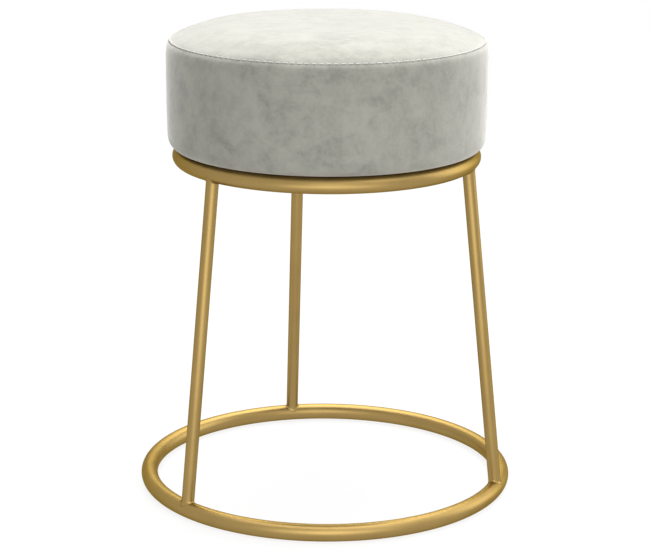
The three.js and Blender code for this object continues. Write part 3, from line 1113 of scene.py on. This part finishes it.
def spring_washer(name, node):
    """A split ring whose two ends stand slightly apart in height."""
    low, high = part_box(node)
    profile = eased_rectangle((bolt_hole, low.z), (spring_washer_radius, high.z), spring_washer_ease)
    opening = spring_washer_split / spring_washer_radius
    rows = []
    for column in range(SMALL_COLUMNS + 1):
        share = column / SMALL_COLUMNS
        turn = math.pi + opening / 2 + (FULL - opening) * share
        kick = spring_washer_kick * (2 * share - 1)
        rows.append([(*polar(radius, turn), height + kick) for radius, height in profile])
    piece_at_node(name, node, on_bolt_circle(body_of_rows(rows)), "zinc_plate")


def staple(name, node):
    """A wire staple with bent corners, its crown flat on the cloth."""
    low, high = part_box(node)
    ring_radius = distance_out(node)
    half = staple_wire / 2
    inner = half - staple_cut
    crown = low.z + half
    side = staple_half_crown - half
    path = [Vector((ring_radius, -side, high.z))]
    for end in (-1, 1):
        corner = Vector((ring_radius, end * (side - staple_bend), crown + staple_bend))
        for turn in quarter_turns(STAPLE_BEND_STEPS)[::-end]:
            path.append(corner + staple_bend * Vector((0, end * math.cos(turn), -math.sin(turn))))
    path.append(Vector((ring_radius, side, high.z)))
    corners = [(half, inner), (inner, half), (-inner, half), (-half, inner)]
    corners += [(-across, -rise) for across, rise in corners]

    def section(index, place, along):
        across = Vector((1, 0, 0))
        up = across.cross(along).normalized()
        return [place + right * across + rise * up for right, rise in corners]

    piece_at_node(name, node, swept(path, section), "zinc_plate")


def carried_over(nodes, slot, ease):
    """CAD nodes that keep their shape and get a finish and eased edges."""
    for node in nodes:
        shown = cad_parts[node]
        shown.data.materials.clear()
        shown.data.materials.append(FINISHES[slot])
        bevel = shown.modifiers.new("eased_edges", "BEVEL")
        bevel.width = ease
        bevel.segments = 2
        bevel.limit_method = "ANGLE"


def underside():
    dust_cover()
    for number, node in enumerate(nodes_named("seat_bracket_"), start=1):
        plate(f"bracket_{number}", node)
        weld_bead(f"bracket_weld_{number}", node)
    fasteners = [
        (bolt, "bolt", "seat_bolt_"),
        (flat_washer, "plain_washer", "flat_washer_"),
        (spring_washer, "split_washer", "spring_washer_"),
    ]
    for make, name, stem in fasteners:
        for number, node in enumerate(nodes_named(stem), start=1):
            make(f"{name}_{number}", node)
    for node in nodes_named("staple_"):
        staple("wire_" + node, node)
    carried_over(nodes_named("tee_nut_"), "zinc_plate", ease=0.15 * MM)
    carried_over(["seat_board"], "plywood", ease=0.3 * MM)


# Stage, light and camera

FLOOR_REACH = 20.0
FLOOR_BOUNCE = 0.3
FLOOR_PAPER = 0.9
SHOWN_LEVEL = 1.0
WORLD_LEVEL = 0.4
white_near = 0.3
white_far = 2.0
white_share_near = 0.85
white_share_far = 1.0

camera_turn = -11.857
camera_distance = 1.9749
camera_height = 0.7336
camera_pitch = 15.005
camera_yaw = 0.029
camera_roll = 0.3125
camera_lens = 117.3

frame_middle_share = 0.6
hoop_middle = (0, 0, base_height)
frame_middle = (0, 0, seat_underside * frame_middle_share)
seat_middle = (0, 0, (seat_underside + seam_height) / 2)


def grey(level):
    return (level, level, level, 1.0)


def seen_directly(tree):
    """One for rays from the camera, gloss and glass, and none for the others."""
    path = tree.add("ShaderNodeLightPath")
    seen = path.outputs["Is Camera Ray"]
    for ray in ("Is Glossy Ray", "Is Transmission Ray"):
        seen = tree.math("MAXIMUM", seen, path.outputs[ray])
    return seen


def diffuse(tree, level):
    """A plain matt grey shader."""
    return tree.add("ShaderNodeBsdfDiffuse", Color=grey(level)).outputs["BSDF"]


def whiter_outwards(tree):
    """Share of plain white in the floor, higher away from the stool."""
    place = tree.add("ShaderNodeTexCoord").outputs["Object"]
    reach = tree.add("ShaderNodeVectorMath")
    reach.operation = "LENGTH"
    tree.links.new(place, reach.inputs[0])
    share = tree.add("ShaderNodeMapRange", From_Min=white_near, From_Max=white_far,
                     To_Min=white_share_near, To_Max=white_share_far)
    tree.links.new(reach.outputs["Value"], share.inputs["Value"])
    return share.outputs["Result"]


def pale_floor():
    """Matt, shown as white with a soft trace of the shadow, and clear when seen from below."""
    material = bpy.data.materials.new("pale_floor")
    tree = Nodes(material)
    tree.nodes.clear()
    white = tree.add("ShaderNodeEmission", Strength=SHOWN_LEVEL).outputs["Emission"]
    shown = tree.mixed(whiter_outwards(tree), diffuse(tree, FLOOR_PAPER), white)
    top_side = tree.mixed(seen_directly(tree), diffuse(tree, FLOOR_BOUNCE), shown)
    from_below = tree.add("ShaderNodeNewGeometry").outputs["Backfacing"]
    clear = tree.add("ShaderNodeBsdfTransparent").outputs["BSDF"]
    output = tree.add("ShaderNodeOutputMaterial")
    tree.links.new(tree.mixed(from_below, top_side, clear), output.inputs["Surface"])
    return material


def floor():
    """A wide pale floor."""
    reach = FLOOR_REACH
    corners = [(-reach, -reach, 0), (reach, -reach, 0), (reach, reach, 0), (-reach, reach, 0)]
    mesh = mesh_of("floor", (corners, [(0, 1, 2, 3)]))
    mesh.materials.append(pale_floor())
    added("floor", mesh)


def surroundings():
    """A plain white world that lights softly."""
    world = bpy.data.worlds.new("studio")
    bpy.context.scene.world = world
    tree = Nodes(world)
    background = tree.nodes["Background"]
    background.inputs["Color"].default_value = grey(1.0)
    level = tree.add("ShaderNodeMapRange", To_Min=WORLD_LEVEL, To_Max=SHOWN_LEVEL)
    tree.links.new(seen_directly(tree), level.inputs["Value"])
    tree.links.new(level.outputs["Result"], background.inputs["Strength"])


def around(turn, distance, height):
    """A place at a distance from the stool's axis, turned from the camera, to the right where positive."""
    angle = math.radians(camera_turn + turn)
    return (distance * math.sin(angle), -distance * math.cos(angle), height)


def soft_light(name, place, target, width, height, watts):
    """A rectangular soft light that faces a point. The camera doesn't see it."""
    lamp = bpy.data.lights.new(name, "AREA")
    lamp.shape = "RECTANGLE"
    lamp.size = width
    lamp.size_y = height
    lamp.energy = watts
    holder = added(name, lamp)
    holder.location = place
    direction = Vector(target) - Vector(place)
    holder.rotation_euler = direction.to_track_quat("-Z", "Y").to_euler()
    holder.visible_camera = False


def lights():
    """A large light overhead, weaker ones in front for the tubes, and one at the right."""
    above = (0.27, 0.75, 2.2)
    front = around(turn=3, distance=1.35, height=0.6)
    front_low = around(turn=3, distance=0.62, height=0.17)
    front_high = around(turn=45, distance=1.3, height=1.7)
    right = around(turn=108, distance=1.7, height=0.8)
    soft_light("overhead", above, seat_middle, width=2.2, height=3.4, watts=91)
    soft_light("front", front, frame_middle, width=0.5, height=1.25, watts=2.7)
    soft_light("front_low", front_low, hoop_middle, width=0.7, height=0.3, watts=1.0)
    soft_light("front_high", front_high, frame_middle, width=0.6, height=1.1, watts=3.8)
    soft_light("right", right, seat_middle, width=1.3, height=1.5, watts=13)


def camera():
    lens = bpy.data.cameras.new("camera")
    lens.lens = camera_lens
    lens.sensor_fit = "HORIZONTAL"
    holder = added("camera", lens)
    turn = Matrix.Rotation(math.radians(camera_turn + camera_yaw), 4, "Z")
    tilt = Matrix.Rotation(math.radians(90 - camera_pitch), 4, "X")
    roll = Matrix.Rotation(math.radians(camera_roll), 4, "Z")
    place = Matrix.Translation(around(0, camera_distance, camera_height))
    holder.matrix_world = place @ turn @ tilt @ roll
    bpy.context.scene.camera = holder


# The whole picture

frame_pieces()
cushion()
underside()
floor()
surroundings()
lights()
camera()

bpy.context.scene.view_settings.view_transform = "Standard"
